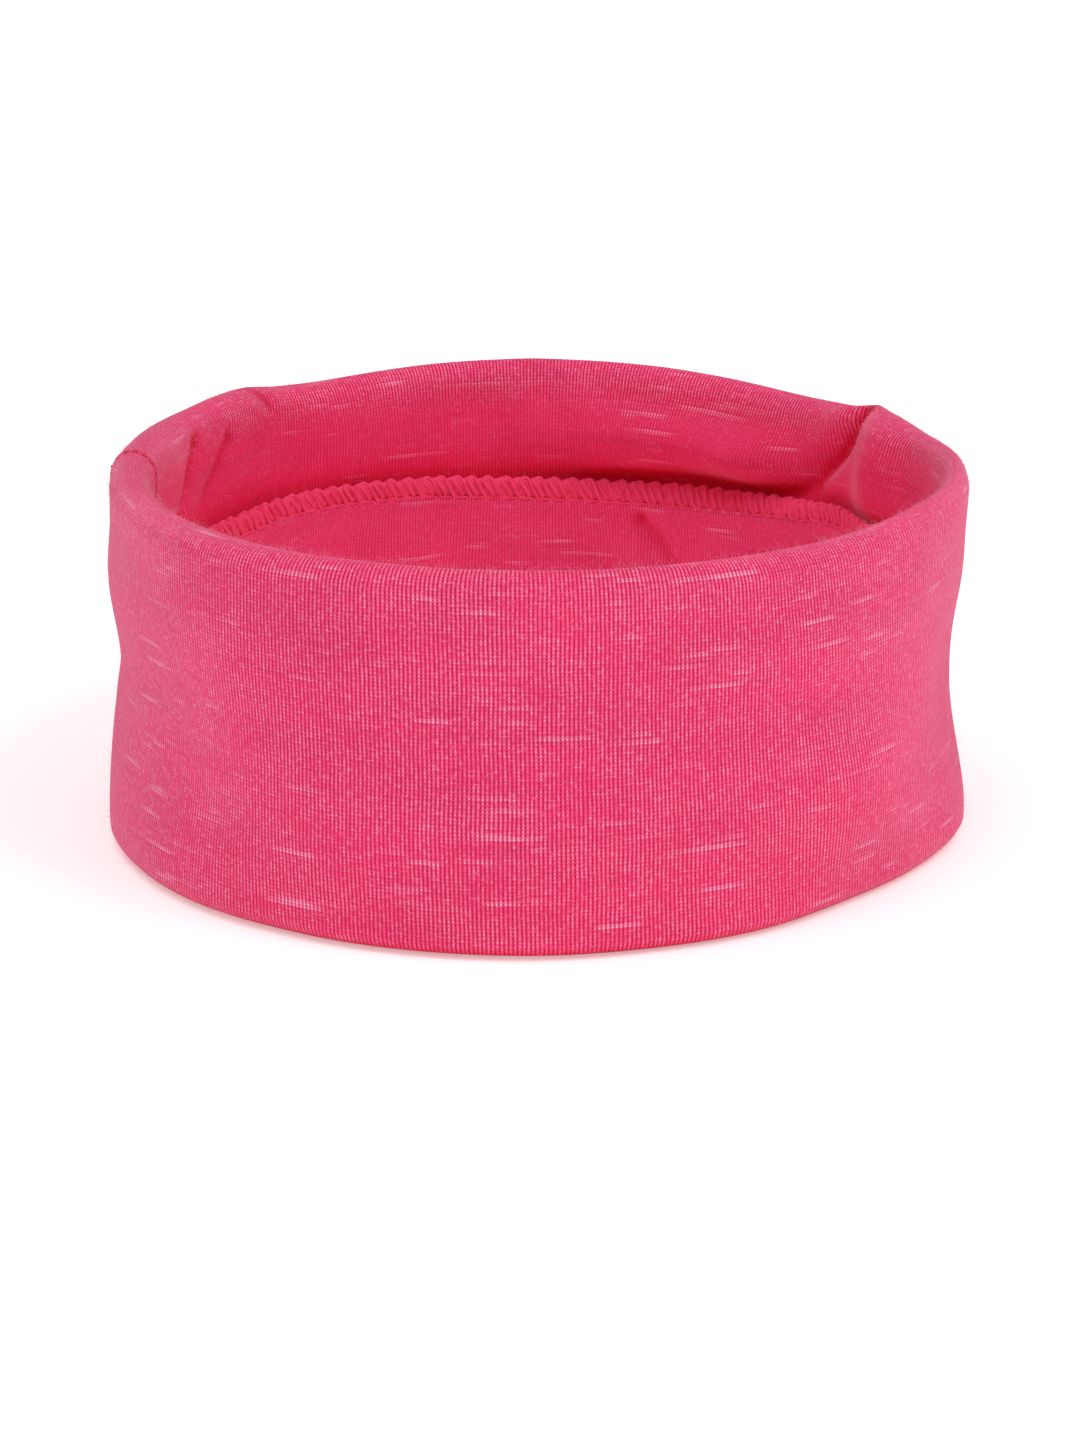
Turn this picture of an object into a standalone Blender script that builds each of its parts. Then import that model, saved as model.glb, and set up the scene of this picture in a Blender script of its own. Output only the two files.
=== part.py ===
"""Sports headband: one strip of knit cloth, folded double and closed by two overlocked seams.

The strip is sewn end to end into a loop by the cross seam, folded along its length with
the right side out, and its two long edges are joined by the long seam, whose serged
allowance stands on the inside of the band.  The loop stands on its lower fold.

Frame: +Z up, origin on the floor at the middle of the loop, cross seam towards -X.
Units are metres.
"""

import math

import bpy
import numpy as np

# The loop, measured over its outer face
HALF_WIDTH = 0.0800  # middle to outer face along X
HALF_DEPTH = 0.0816  # middle to outer face along Y
BAND_HEIGHT = 0.0690
BAND_THICKNESS = 0.0084  # outer face to inner face, with the air between the layers

# The cloth
CLOTH = 0.0005  # thickness of the knit

# The long seam, on the inside of the band
SEAM_HEIGHT = 0.0430  # height of the sewing line
SEAM_ALLOWANCE = 0.0045  # from the sewing line up to the raw edges
SEAM_STEP = 0.0060  # height over which the lower half steps in to its allowance

# The cross seam, which closes the loop
CROSS_ANGLE = math.pi  # where it lies round the loop
CROSS_ALLOWANCE = 0.0050
CROSS_SLIT = 0.0003  # between the two cloth ends
CROSS_FOLD = 0.0006  # bend radius of the end that dives under the other

# The threads
THREAD_RADIUS = 0.00010
STITCH = 0.0035  # pitch along a seam
CLEARANCE = 0.0003  # between a thread or layer and its neighbour
NEEDLE_INSET = 0.0006  # needle thread from the sewing line
LOOPER_START = 0.0010  # looper turn from the needle thread
LOOPER_MARGIN = 0.0005  # looper turn from the raw edge

# How finely the surfaces are divided
LOOP_STEPS = 54
LEG_STEPS = 2  # of a cross seam thread, from one turn to the next, so that it follows the folds
THREAD_RESOLUTION = 0  # gives each thread four sides

# Insets of each layer's middle from the outer face
LOOPER_ROOM = 2 * (THREAD_RADIUS + CLEARANCE)
OUTER_LAYER = CLOTH / 2
INNER_LAYER = BAND_THICKNESS - CLOTH / 2
UPPER_ALLOWANCE_LAYER = INNER_LAYER + CLOTH + LOOPER_ROOM
LOWER_ALLOWANCE_LAYER = UPPER_ALLOWANCE_LAYER + CLOTH + CLEARANCE

# Depths of the cross seam's layers and threads below the layer that they hang from
FIRST_END_DEPTH = CLOTH + LOOPER_ROOM
SECOND_END_DEPTH = FIRST_END_DEPTH + CLOTH + CLEARANCE
CROSS_THREAD_DEPTH = SECOND_END_DEPTH + CLOTH / 2 + CLEARANCE + THREAD_RADIUS

# The folds and the turn at the long seam
TOP_RADIUS = (INNER_LAYER - OUTER_LAYER) / 2
TOP_CENTRE = BAND_HEIGHT - CLOTH / 2 - TOP_RADIUS
HEEL_RADIUS = CROSS_THREAD_DEPTH + 2 * THREAD_RADIUS  # leaves a flat between heels
HEEL_CENTRE = CLOTH / 2 + HEEL_RADIUS
TURN_RADIUS = (UPPER_ALLOWANCE_LAYER - INNER_LAYER) / 2
TURN_CENTRE = SEAM_HEIGHT + CLOTH / 2 + TURN_RADIUS
RAW_EDGE = SEAM_HEIGHT + SEAM_ALLOWANCE
LOOP_RADIUS = (HALF_WIDTH + HALF_DEPTH) / 2

PINK = (0.76, 0.060, 0.175, 1.0)
DEEP_PINK = (0.68, 0.035, 0.125, 1.0)


def clear_scene():
    for obj in list(bpy.data.objects):
        bpy.data.objects.remove(obj, do_unlink=True)


def make_collection(name):
    collection = bpy.data.collections.new(name)
    bpy.context.scene.collection.children.link(collection)
    return collection


def fabric_material(name, colour, roughness):
    material = bpy.data.materials.new(name)
    material.use_nodes = True
    shader = material.node_tree.nodes["Principled BSDF"]
    shader.inputs["Base Color"].default_value = colour
    shader.inputs["Roughness"].default_value = roughness
    shader.inputs["Metallic"].default_value = 0.0
    material.diffuse_color = colour
    return material


def line(start, end, steps):
    share = np.linspace(0.0, 1.0, steps + 1)[:, None]
    return np.array(start) + share * (np.array(end) - np.array(start))


def arc(centre, radius, first_degrees, last_degrees, steps):
    turn = np.radians(np.linspace(first_degrees, last_degrees, steps + 1))
    return np.array(centre) + radius * np.stack([np.cos(turn), np.sin(turn)], axis=1)


def smooth_step(start, end, steps):
    """A soft S from start to end: even in height, eased in inset."""
    share = np.linspace(0.0, 1.0, steps + 1)
    eased = share * share * (3 - 2 * share)
    inset = start[0] + eased * (end[0] - start[0])
    return np.stack([inset, start[1] + share * (end[1] - start[1])], axis=1)


def join_runs(runs):
    """Runs of points put end to end, with a shared end point kept once."""
    joined = runs[0]
    for run in runs[1:]:
        shared = np.allclose(joined[-1], run[0])
        joined = np.vstack([joined, run[1:] if shared else run])
    return joined


def seam_allowances_and_step():
    """The runs of the cross-section that lie in the long seam: its start and its end."""
    upper = [
        line((UPPER_ALLOWANCE_LAYER, RAW_EDGE), (UPPER_ALLOWANCE_LAYER, TURN_CENTRE), 2),
        arc((INNER_LAYER + TURN_RADIUS, TURN_CENTRE), TURN_RADIUS, 0, -180, 4),
    ]
    lower = [
        smooth_step(
            (INNER_LAYER, SEAM_HEIGHT - SEAM_STEP), (LOWER_ALLOWANCE_LAYER, SEAM_HEIGHT), 5
        ),
        line((LOWER_ALLOWANCE_LAYER, SEAM_HEIGHT), (LOWER_ALLOWANCE_LAYER, RAW_EDGE), 2),
    ]
    return upper, lower


def hollow_runs():
    """The runs that enclose the band's hollow: up, over the top, down, and up again."""
    middle = (OUTER_LAYER + INNER_LAYER) / 2
    outer_heel = OUTER_LAYER + HEEL_RADIUS
    inner_heel = INNER_LAYER - HEEL_RADIUS
    return [
        line((INNER_LAYER, TURN_CENTRE), (INNER_LAYER, TOP_CENTRE), 3),
        arc((middle, TOP_CENTRE), TOP_RADIUS, 0, 180, 8),
        line((OUTER_LAYER, TOP_CENTRE), (OUTER_LAYER, HEEL_CENTRE), 3),
        arc((outer_heel, HEEL_CENTRE), HEEL_RADIUS, 180, 270, 4),
        line((outer_heel, CLOTH / 2), (inner_heel, CLOTH / 2), 1),
        arc((inner_heel, HEEL_CENTRE), HEEL_RADIUS, 270, 360, 4),
        line((INNER_LAYER, HEEL_CENTRE), (INNER_LAYER, SEAM_HEIGHT - SEAM_STEP), 3),
    ]


def across_the_strip():
    """The strip's cross-section from raw edge to raw edge, as (inset, height) points.

    Returns the points, their unit normals to the cloth's wrong side, and the first and
    last row of the stretch that encloses the hollow, one row clear of the turn.
    """
    upper, lower = seam_allowances_and_step()
    hollow = hollow_runs()
    first_row = len(join_runs(upper))
    last_row = len(join_runs(upper + hollow)) - 1
    points = join_runs(upper + hollow + lower)
    directions = np.diff(points, axis=0)
    directions /= np.linalg.norm(directions, axis=1)[:, None]
    tangents = np.vstack(
        [directions[:1], directions[:-1] + directions[1:], directions[-1:]]
    )
    tangents /= np.linalg.norm(tangents, axis=1)[:, None]
    normals = np.stack([-tangents[:, 1], tangents[:, 0]], axis=1)
    return points, normals, (first_row, last_row)


def along_the_strip():
    """(distance, depth) of each column of the strip, from its first end to its second.

    The first end turns back under itself into the hollow.  The second end dives under
    the first, so that both allowances lie the same way, one on the other.
    """
    turn = FIRST_END_DEPTH / 2
    edge = CROSS_SLIT / 2 + CLOTH / 2
    around = 2 * math.pi * LOOP_RADIUS
    dive = around - edge - CROSS_FOLD
    landing = around - edge + CROSS_FOLD
    return join_runs(
        [
            line((CROSS_ALLOWANCE, FIRST_END_DEPTH), (edge + turn, FIRST_END_DEPTH), 2),
            arc((edge + turn, turn), turn, 90, 270, 4),
            line((edge + turn, 0.0), (dive, 0.0), LOOP_STEPS),
            arc((dive, CROSS_FOLD), CROSS_FOLD, -90, 0, 2),
            arc((landing, SECOND_END_DEPTH - CROSS_FOLD), CROSS_FOLD, 180, 90, 2),
            line(
                (landing, SECOND_END_DEPTH), (around + CROSS_ALLOWANCE, SECOND_END_DEPTH), 2
            ),
        ]
    )


def place_on_band(distance, section, normals, depth):
    """Points of the band from distances round it and (inset, height) points across it.

    Each point lies the given depth below its layer, to the cloth's wrong side.
    """
    angle = CROSS_ANGLE + distance / LOOP_RADIUS
    inset = section[..., 0] + normals[..., 0] * depth
    height = section[..., 1] + normals[..., 1] * depth
    x = (HALF_WIDTH - inset) * np.cos(angle)
    y = (HALF_DEPTH - inset) * np.sin(angle)
    return np.stack(np.broadcast_arrays(x, y, height), axis=-1)


def strip_faces(columns, rows, hollow):
    """Faces of the strip's grid; its ends are cut away outside the hollow."""
    faces = []
    for i in range(len(columns) - 1):
        in_face = columns[i, 1] == 0.0 and columns[i + 1, 1] == 0.0
        first, last = (0, rows - 1) if in_face else hollow
        for j in range(first, last):
            corner = i * rows + j
            faces.append((corner, corner + 1, corner + 1 + rows, corner + rows))
    return faces


def mesh_of_used_points(name, points, faces):
    """A mesh of the faces, with the points that no face uses left out."""
    used = sorted({corner for face in faces for corner in face})
    new_index = {old: new for new, old in enumerate(used)}
    mesh = bpy.data.meshes.new(name)
    mesh.from_pydata(
        [tuple(points[old]) for old in used],
        [],
        [tuple(new_index[corner] for corner in face) for face in faces],
    )
    return mesh


def knit_panel(collection):
    """The one strip of cloth: a grid folded both ways at once, given its thickness."""
    section, normals, hollow = across_the_strip()
    columns = along_the_strip()
    columns[np.abs(columns[:, 1]) < 1e-9, 1] = 0.0
    grid = place_on_band(columns[:, None, 0], section[None], normals[None], columns[:, None, 1])
    faces = strip_faces(columns, len(section), hollow)
    mesh = mesh_of_used_points("knit_panel", grid.reshape(-1, 3).tolist(), faces)
    mesh.materials.append(fabric_material("pink_jersey", PINK, 0.9))
    mesh.shade_smooth()
    mesh.set_sharp_from_angle(angle=math.radians(50))
    panel = bpy.data.objects.new("knit_panel", mesh)
    collection.objects.link(panel)
    thickness = panel.modifiers.new("Knit thickness", "SOLIDIFY")
    thickness.thickness = CLOTH
    thickness.offset = 0.0
    thickness.use_even_offset = True
    return panel


def thread(name, collection, points, closed):
    """A thread as a thin round curve through its points."""
    curve = bpy.data.curves.new(name, "CURVE")
    curve.dimensions = "3D"
    curve.bevel_depth = THREAD_RADIUS
    curve.bevel_resolution = THREAD_RESOLUTION
    curve.use_fill_caps = not closed
    spline = curve.splines.new("POLY")
    spline.points.add(len(points) - 1)
    for spline_point, place in zip(spline.points, points):
        spline_point.co = (*place, 1.0)
    spline.use_cyclic_u = closed
    curve.materials.append(fabric_material(name, DEEP_PINK, 0.75))
    obj = bpy.data.objects.new(name, curve)
    collection.objects.link(obj)
    return obj


def ring_of_stitches(inset, heights):
    """A closed run round the band at one inset, taking the heights in turn each stitch."""
    stitches = round(2 * math.pi * LOOP_RADIUS / STITCH)
    count = stitches * len(heights)
    distance = 2 * math.pi * LOOP_RADIUS * np.arange(count) / count
    section = np.stack([np.full(count, inset), np.resize(heights, count)], axis=1)
    return place_on_band(distance, section, np.zeros((count, 2)), 0.0)


def long_seam_threads(collection):
    """The needle thread and both looper threads of the overlocked long seam."""
    on_free_face = LOWER_ALLOWANCE_LAYER + CLOTH / 2 + CLEARANCE + THREAD_RADIUS
    behind = (INNER_LAYER + UPPER_ALLOWANCE_LAYER) / 2
    needle = SEAM_HEIGHT + NEEDLE_INSET
    far_turn = RAW_EDGE - LOOPER_MARGIN
    runs = {
        "long_seam_needle_thread": (on_free_face, [needle]),
        "long_seam_upper_looper_thread": (on_free_face, [needle + LOOPER_START, far_turn]),
        "long_seam_lower_looper_thread": (behind, [TURN_CENTRE + LOOPER_START, far_turn]),
    }
    for name, (inset, heights) in runs.items():
        thread(name, collection, ring_of_stitches(inset, heights), closed=True)


def run_of_stitches(distances, depth):
    """A run across the strip in the hollow, taking the distances in turn each stitch."""
    section, normals, (first_row, last_row) = across_the_strip()
    section = section[first_row : last_row + 1]
    normals = normals[first_row : last_row + 1]
    steps = np.linalg.norm(np.diff(section, axis=0), axis=1)
    travelled = np.concatenate([[0.0], np.cumsum(steps)])
    turns = int(travelled[-1] / STITCH) * len(distances) + 1
    count = (turns - 1) * LEG_STEPS + 1
    where = np.linspace(STITCH / 2, travelled[-1] - STITCH / 2, count)
    distance = np.interp(
        np.arange(count) / LEG_STEPS, np.arange(turns), np.resize(distances, turns)
    )
    section, normals = (
        np.stack([np.interp(where, travelled, values[:, k]) for k in (0, 1)], axis=1)
        for values in (section, normals)
    )
    return place_on_band(distance, section, normals, depth)


def cross_seam_threads(collection):
    """The same three threads on the cross seam, inside the band's hollow."""
    turned_under = CROSS_SLIT / 2 + CLOTH / 2 + FIRST_END_DEPTH / 2
    needle = turned_under + NEEDLE_INSET
    far_turn = CROSS_ALLOWANCE - LOOPER_MARGIN
    behind = FIRST_END_DEPTH / 2
    runs = {
        "cross_seam_needle_thread": ([needle], CROSS_THREAD_DEPTH),
        "cross_seam_upper_looper_thread": ([needle + LOOPER_START, far_turn], CROSS_THREAD_DEPTH),
        "cross_seam_lower_looper_thread": ([turned_under + LOOPER_START, far_turn], behind),
    }
    for name, (distances, depth) in runs.items():
        thread(name, collection, run_of_stitches(distances, depth), closed=False)


def main():
    clear_scene()
    headband = make_collection("sports_headband")
    knit_panel(headband)
    long_seam_threads(headband)
    cross_seam_threads(headband)


main()
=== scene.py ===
import math

import bpy
import numpy as np
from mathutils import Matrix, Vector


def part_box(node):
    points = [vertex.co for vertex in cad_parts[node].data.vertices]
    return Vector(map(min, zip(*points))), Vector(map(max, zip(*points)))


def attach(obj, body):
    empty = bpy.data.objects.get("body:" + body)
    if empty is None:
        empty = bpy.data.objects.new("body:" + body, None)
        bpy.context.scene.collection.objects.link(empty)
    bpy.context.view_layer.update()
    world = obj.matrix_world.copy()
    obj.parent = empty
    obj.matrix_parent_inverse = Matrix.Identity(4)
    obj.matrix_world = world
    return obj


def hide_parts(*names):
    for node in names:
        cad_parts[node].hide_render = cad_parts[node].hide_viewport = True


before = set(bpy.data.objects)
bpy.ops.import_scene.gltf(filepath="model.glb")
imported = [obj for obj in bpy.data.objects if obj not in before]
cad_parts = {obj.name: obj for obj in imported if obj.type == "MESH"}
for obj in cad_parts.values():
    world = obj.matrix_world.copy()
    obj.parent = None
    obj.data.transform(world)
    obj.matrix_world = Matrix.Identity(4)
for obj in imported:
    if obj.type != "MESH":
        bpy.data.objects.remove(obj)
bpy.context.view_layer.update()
rng = np.random.default_rng(37)

# places taken from the frame, in metres
panelLow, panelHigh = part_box("knit_panel")
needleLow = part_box("long_seam_needle_thread")[0]
halfWidth = (panelHigh.x - panelLow.x) / 2
halfDepth = (panelHigh.y - panelLow.y) / 2
loopRadius = (halfWidth + halfDepth) / 2
loopLength = 2 * math.pi * loopRadius
sewingHeight = needleLow.z - 0.0004

# angles go round the loop from the right, anticlockwise from above:
# right 0, back 90, left 180 (where the cross seam is), front 270
bandShape = {
    "height": 0.0688,
    "thickness": 0.0082,
    "cloth": 0.0005,
    # height of the upper rim round the loop
    "rimHeights": {
        0: 0.0682, 14: 0.0680, 27: 0.0696, 34: 0.0682, 45: 0.0677, 61: 0.0689,
        71: 0.0697, 90: 0.0703, 104: 0.0699, 114: 0.0692, 124: 0.0686, 132: 0.0689,
        138: 0.0699, 144: 0.0697, 152: 0.0690, 165: 0.0689, 180: 0.0690, 205: 0.0680,
        235: 0.0678, 270: 0.0677, 305: 0.0679, 335: 0.0686,
    },
    # how far the long seam wanders up and down
    "seamRises": {
        0: 0.0030, 31: 0.0031, 41: 0.0017, 57: 0.0000, 78: -0.0007, 95: -0.0002,
        112: 0.0010, 131: 0.0013, 146: 0.0002, 180: -0.0004, 225: 0.0004,
        270: -0.0006, 315: 0.0012,
    },
    # how far the outer face leans in at mid height
    "waists": {
        0: 0.0017, 50: 0.0012, 90: 0.0012, 135: 0.0016, 180: 0.0031, 225: 0.0014,
        270: 0.0006, 315: 0.0010,
    },
    # how far the upper edge leans out
    "flares": {
        0: 0.0006, 25: -0.0006, 50: -0.0004, 90: 0.0, 150: -0.0006, 180: -0.0026,
        215: -0.0012, 250: 0.0, 320: 0.0,
    },
    # how far the lower edge leans out
    "skirts": {
        0: 0.0014, 45: 0.0, 90: 0.0, 180: -0.0009, 206: 0.0007, 222: 0.0006, 238: -0.0004,
        255: -0.0011, 270: -0.0013, 300: -0.0018, 318: -0.0026, 333: -0.0006, 348: 0.0018,
    },
    # thickness of the upper edge, as a share of the band's
    "slimness": {
        0: 0.55, 28: 0.72, 60: 0.9, 90: 0.9, 150: 1.0, 180: 1.05, 225: 0.95, 270: 0.85,
        320: 0.68,
    },
    # rounded swellings of the inner face: angle, height, reach round, reach up, amount
    "innerSwellings": [
        (68, 0.0562, 0.026, 0.0062, 0.0072),
        (52, 0.0560, 0.010, 0.0060, 0.0056),
        (60, 0.0478, 0.028, 0.0028, -0.0030),
        (21, 0.0590, 0.009, 0.0120, 0.0046),
        (92, 0.0580, 0.020, 0.0080, 0.0022),
        (118, 0.0580, 0.016, 0.0085, 0.0028),
        (144, 0.0570, 0.010, 0.0080, 0.0012),
        (166, 0.0590, 0.008, 0.0080, 0.0010),
        (210, 0.0570, 0.022, 0.0080, 0.0024),
        (250, 0.0580, 0.020, 0.0080, 0.0016),
        (292, 0.0570, 0.022, 0.0070, 0.0026),
        (335, 0.0580, 0.016, 0.0080, 0.0020),
        (98, 0.0600, 0.007, 0.0070, -0.0012),
        (130, 0.0540, 0.009, 0.0050, -0.0012),
        (75, 0.0220, 0.026, 0.0110, 0.0010),
        (52, 0.0330, 0.008, 0.0050, 0.0012),
        (82, 0.0300, 0.009, 0.0060, -0.0014),
        (92, 0.0330, 0.008, 0.0050, 0.0013),
        (100, 0.0250, 0.010, 0.0070, -0.0016),
        (110, 0.0320, 0.009, 0.0060, 0.0014),
        (121, 0.0290, 0.009, 0.0080, -0.0014),
        (131, 0.0340, 0.009, 0.0050, 0.0010),
        (200, 0.0210, 0.030, 0.0100, 0.0010),
        (300, 0.0200, 0.030, 0.0100, 0.0012),
    ],
    # soft folds of the inner face: a line of (angle, height) places, width and depth
    "innerFolds": [
        ([(29, 0.0700), (31, 0.0640), (34, 0.0585), (38, 0.0520), (47, 0.0485)], 0.0037, 0.0046),
        ([(139, 0.0700), (137, 0.0668), (135, 0.0640)], 0.0022, 0.0010),
        ([(156, 0.0640), (160, 0.0570), (167, 0.0480)], 0.0024, 0.0013),
        ([(147, 0.0620), (151, 0.0560), (157, 0.0500)], 0.0024, 0.0011),
        ([(140, 0.0590), (142, 0.0530), (145, 0.0490)], 0.0024, 0.0005),
        ([(90, 0.0690), (87, 0.0610), (84, 0.0540)], 0.0056, 0.0014),
        ([(71, 0.0390), (67, 0.0320), (62, 0.0200)], 0.0040, 0.0020),
        ([(106, 0.0380), (103, 0.0280), (100, 0.0180)], 0.0064, 0.0012),
        ([(215, 0.0640), (212, 0.0500)], 0.0030, 0.0012),
        ([(318, 0.0640), (322, 0.0490)], 0.0030, 0.0014),
    ],
    # broad soft waves of the outer face: angle, height, reach round, reach up, amount
    "outerSwellings": [
        (236, 0.0500, 0.022, 0.0200, 0.0011),
        (218, 0.0260, 0.020, 0.0160, -0.0014),
        (252, 0.0180, 0.026, 0.0120, 0.0010),
        (285, 0.0380, 0.016, 0.0160, -0.0008),
        (305, 0.0520, 0.020, 0.0120, 0.0010),
        (318, 0.0220, 0.020, 0.0140, 0.0013),
        (345, 0.0380, 0.012, 0.0120, -0.0004),
        (0, 0.0480, 0.020, 0.0090, 0.0012),
        (183, 0.0450, 0.020, 0.0070, 0.0007),
        (183, 0.0330, 0.018, 0.0070, -0.0007),
        (30, 0.0400, 0.024, 0.0160, -0.0010),
        (70, 0.0300, 0.026, 0.0160, -0.0008),
        (110, 0.0420, 0.024, 0.0140, 0.0009),
        (150, 0.0300, 0.022, 0.0160, -0.0010),
    ],
}


# a soft S from 0 to 1 as value goes from low to high
def softStep(low, high, value):
    share = np.clip((value - low) / (high - low), 0.0, 1.0)
    return share * share * (3 - 2 * share)


# how far one angle lies past another, from -180 to 180
def turnBetween(angle, centre):
    return (angle - centre + 180.0) % 360.0 - 180.0


# a smooth closed curve through the values given round the loop: cubic pieces whose
# slope at each value is that of the line between its two neighbours
def aroundLoop(angle, values):
    at = np.array(sorted(values), float)
    value = np.array([values[key] for key in sorted(values)], float)
    span = (np.roll(at, -1) - at) % 360.0
    slope = (np.roll(value, -1) - np.roll(value, 1)) / (span + np.roll(span, 1))
    angle = np.asarray(angle) % 360.0
    first = (np.searchsorted(at, angle, side="right") - 1) % len(at)
    second = (first + 1) % len(at)
    share = ((angle - at[first]) % 360.0) / span[first]
    rise = value[second] - value[first]
    blend = share * share * (3 - 2 * share)
    lead = share * (1 - share) ** 2 * slope[first] * span[first]
    trail = share * share * (share - 1) * slope[second] * span[first]
    return value[first] + rise * blend + lead + trail


# the sum of the swellings: each is a bell round its centre
def swell(angle, height, swellings):
    total = np.zeros(np.broadcast(angle, height).shape)
    for centre, level, reachRound, reachUp, amount in swellings:
        away = np.radians(turnBetween(angle, centre)) * loopRadius / reachRound
        total += amount * np.exp(-(away**2) - ((height - level) / reachUp) ** 2)
    return total


# the sum of the folds: each is a groove with a lip on both sides, along a bent line, and
# dies away at the line's lower end
def crease(angle, height, folds):
    total = np.zeros(np.broadcast(angle, height).shape)
    for line, width, depth in folds:
        nearest = np.full(total.shape, 1.0)
        fade = np.zeros(total.shape)
        steps = len(line) - 1
        for k in range(steps):
            (startAngle, startHeight), (endAngle, endHeight) = line[k], line[k + 1]
            across = np.radians(turnBetween(angle, startAngle)) * loopRadius
            up = height - startHeight
            runAcross = math.radians(endAngle - startAngle) * loopRadius
            runUp = endHeight - startHeight
            length = math.hypot(runAcross, runUp)
            share = np.clip((across * runAcross + up * runUp) / length**2, 0.0, 1.0)
            away = np.hypot(across - share * runAcross, up - share * runUp)
            fade = np.where(away < nearest, np.cos(0.5 * np.pi * ((k + share) / steps) ** 2), fade)
            nearest = np.minimum(away, nearest)
        away = nearest / width
        total -= depth * (0.15 + 0.85 * fade) * (np.exp(-(away**2)) - 0.4 * np.exp(-((away / 2.2) ** 2)))
    return total


# gentle unevenness: a few waves round the loop and up the band, added together
def unevenness(angle, height, phase):
    turn = np.radians(angle)
    return (
        0.40 * np.sin(5 * turn + 60 * height + phase)
        + 0.30 * np.sin(9 * turn - 85 * height + 2.1 * phase)
        + 0.20 * np.sin(14 * turn + 120 * height + 0.7 * phase)
        + 0.10 * np.sin(23 * turn - 150 * height + 1.7 * phase)
    )


# the shape of the inner face: the sum of its swellings and its folds
def innerShape(angle, height):
    swellings = swell(angle, height, bandShape["innerSwellings"])
    return swellings + crease(angle, height, bandShape["innerFolds"])


# how much painted shade the inner face gets, from 0 to 1, as deep as it is hollow: the mean of the inset
# a little way off on four sides, less the inset there; the part that lies on the table gets painted
# shade too
def hollowShadeAt(distance, inset, height):
    angle = 180.0 + np.degrees(distance / loopRadius)
    step = 0.0022
    turn = math.degrees(step / loopRadius)
    beside = innerShape(angle - turn, height) + innerShape(angle + turn, height)
    beside = beside + innerShape(angle, height - step) + innerShape(angle, height + step)
    bend = (beside - 4 * innerShape(angle, height)) / step**2
    inside = softStep(0.3, 0.9, inset / bandShape["thickness"])
    return np.maximum(softStep(50.0, 400.0, bend) * inside, softStep(0.0024, 0.0006, height))


# a point of the band: distance goes round from the cross seam, inset and height are the
# place in the plain section, and the band's waist, rim, swellings and folds move it
def placeInBand(distance, inset, height):
    angle = 180.0 + np.degrees(distance / loopRadius)
    tall = bandShape["height"]
    inside = softStep(0.0, bandShape["thickness"], inset)
    outside = 1.0 - inside
    share = height / tall
    rise = (aroundLoop(angle, bandShape["rimHeights"]) - tall) * softStep(0.55, 1.0, share)
    nearSeam = np.exp(-(((height - sewingHeight) / 0.010) ** 2)) * inside
    rise = rise + aroundLoop(angle, bandShape["seamRises"]) * nearSeam
    waist = aroundLoop(angle, bandShape["waists"]) * np.sin(np.pi * np.clip(share, 0, 1)) ** 2
    flare = aroundLoop(angle, bandShape["flares"]) * softStep(0.66, 0.96, share)
    skirt = aroundLoop(angle, bandShape["skirts"]) * softStep(0.40, 0.06, share)
    lean = waist - flare - skirt
    outer = 0.00035 * unevenness(angle, height, 0.6) - swell(angle, height, bandShape["outerSwellings"])
    offSeam = softStep(0.002, 0.008, abs(height - sewingHeight))
    inner = innerShape(angle, height) + 0.00045 * unevenness(angle, height, 2.3) * offSeam
    slim = 1 + (aroundLoop(angle, bandShape["slimness"]) - 1) * softStep(0.70, 0.95, share)
    depth = inset * slim + lean * (1.0 - 0.35 * inside) + outside * outer + inside * inner
    turn = np.radians(angle)
    x = (halfWidth - depth) * np.cos(turn)
    y = (halfDepth - depth) * np.sin(turn)
    return np.stack(np.broadcast_arrays(x, y, height + rise), axis=-1)


# a mesh from a grid of points: each place and its next neighbours along and across make a
# four-sided face, the last row across meets the first, and so does the last along where it
# is closed; open ends are capped. The grid's places in the cloth become its UV map
def gridMesh(name, points, closedAlong, along, across, material):
    count, rows = points.shape[:2]
    stepsAlong = count if closedAlong else count - 1
    i, j = np.meshgrid(np.arange(stepsAlong), np.arange(rows), indexing="ij")
    i, j = i.ravel(), j.ravel()
    nextI, nextJ = (i + 1) % count, (j + 1) % rows
    faces = np.stack([i * rows + j, i * rows + nextJ, nextI * rows + nextJ, nextI * rows + j], axis=1)
    caps = []
    if not closedAlong:
        caps = [list(range(rows))[::-1], list(range((count - 1) * rows, count * rows))]
    mesh = bpy.data.meshes.new(name)
    mesh.from_pydata(points.reshape(-1, 3).tolist(), [], faces.tolist() + caps)
    corners = [along[i, j], along[i, j + 1], along[i + 1, j + 1], along[i + 1, j]]
    cornerAlong = np.stack(corners, axis=1)
    cornerAcross = np.stack([across[j], across[j + 1], across[j + 1], across[j]], axis=1)
    flat = np.stack([cornerAlong, cornerAcross], axis=-1).reshape(-1, 2)
    capCorners = np.zeros((rows * len(caps), 2))
    layer = mesh.uv_layers.new(name="cloth")
    layer.data.foreach_set("uv", np.vstack([flat, capCorners]).astype(np.float32).ravel())
    mesh.shade_smooth()
    mesh.materials.append(material)
    piece = bpy.data.objects.new(name, mesh)
    bpy.context.scene.collection.objects.link(piece)
    return piece


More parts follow.
